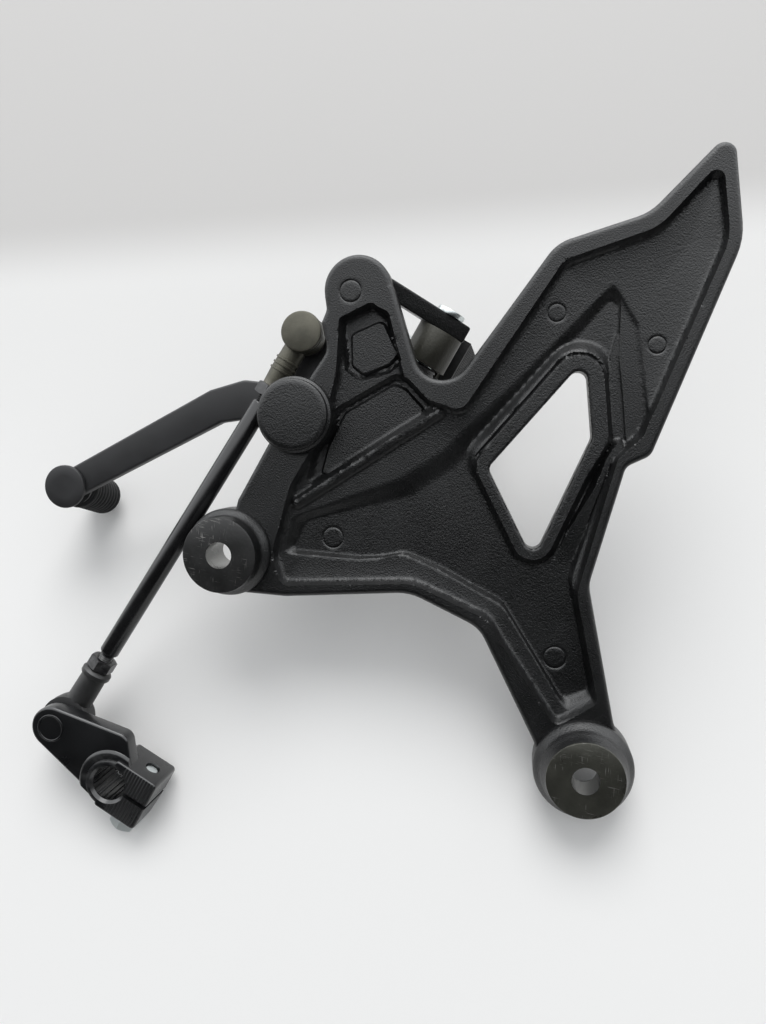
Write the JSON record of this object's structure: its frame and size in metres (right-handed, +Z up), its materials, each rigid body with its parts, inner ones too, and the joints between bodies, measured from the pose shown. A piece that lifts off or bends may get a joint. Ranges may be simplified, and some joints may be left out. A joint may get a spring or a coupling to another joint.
{
  "type": "motorcycle footrest hanger",
  "caption": "Cast footrest hanger of a motorcycle with a folding footpeg, a flat shift lever and a jointed shift rod that ends in a clamped shift arm.",
  "frame": {"origin": "centre of the lower mount bore at its inboard face", "axes": "+X points forward on the motorcycle, +Y points outboard to the left, +Z points up from the lower mount bore to the upper one"},
  "size_m": [0.3458, 0.1331, 0.2777],
  "materials": {
    "cast": "black coated casting with a fine texture and bare machined mount faces",
    "lever": "satin black",
    "arm": "semi-gloss black",
    "rod": "satin black",
    "plated": "dark olive plating",
    "zinc": "bright zinc plating",
    "spring": "dark phosphated wire",
    "alloy": "cast alloy",
    "bronze": "sintered bronze",
    "rubber": "matte black"
  },
  "bodies": {
    "hanger": {"hanger": "cast", "peg_pin": "zinc", "peg_clip": "zinc", "peg_spring": "spring", "pivot_bolt": "zinc", "seal_inner": "rubber", "seal_outer": "rubber"},
    "footpeg": {"peg_bar": "alloy", "peg_tread": "rubber", "peg_feeler": "zinc"},
    "lever": {"shift_lever": "lever", "pivot_bush": "bronze", "toe_stub": "lever", "toe_rubber": "rubber", "upper_stud": "plated", "upper_nut": "zinc"},
    "rod": {"upper_housing": "plated", "upper_boot": "rubber", "upper_lock_nut": "plated", "shift_rod": "rod", "lower_lock_nut": "plated", "lower_housing": "plated", "lower_boot": "rubber"},
    "arm": {"shift_arm": "arm", "lower_stud": "plated", "pinch_bolt": "zinc", "pinch_washer": "zinc"}
  },
  "joints": [
    {"name": "footpeg_fold", "type": "hinge", "parent": "hanger", "child": "footpeg", "pos_m": [-0.112, 0.038, 0.02788], "axis": [1, 0, 0], "range_deg": [0, 75], "stiffness_Nm_per_rad": 0.3, "springref_deg": -34.38},
    {"name": "lever_turn", "type": "hinge", "parent": "hanger", "child": "lever", "pos_m": [-0.06216, 0.035, -0.00246], "axis": [0, -1, 0], "range_deg": [0, 45]},
    {"name": "rod_swing", "type": "hinge", "parent": "lever", "child": "rod", "pos_m": [-0.09104, 0.025, -0.01883], "axis": [0, -1, 0], "range_deg": [-45, 5]},
    {"name": "arm_swing", "type": "hinge", "parent": "rod", "child": "arm", "pos_m": [0.0984, 0.009, -0.02624], "axis": [0, -1, 0], "range_deg": [-5, 45]}
  ],
  "couplings": [
    {"joint": "rod_swing", "follows": "lever_turn", "ratio": -0.876},
    {"joint": "arm_swing", "follows": "lever_turn", "ratio": 0.656}
  ]
}
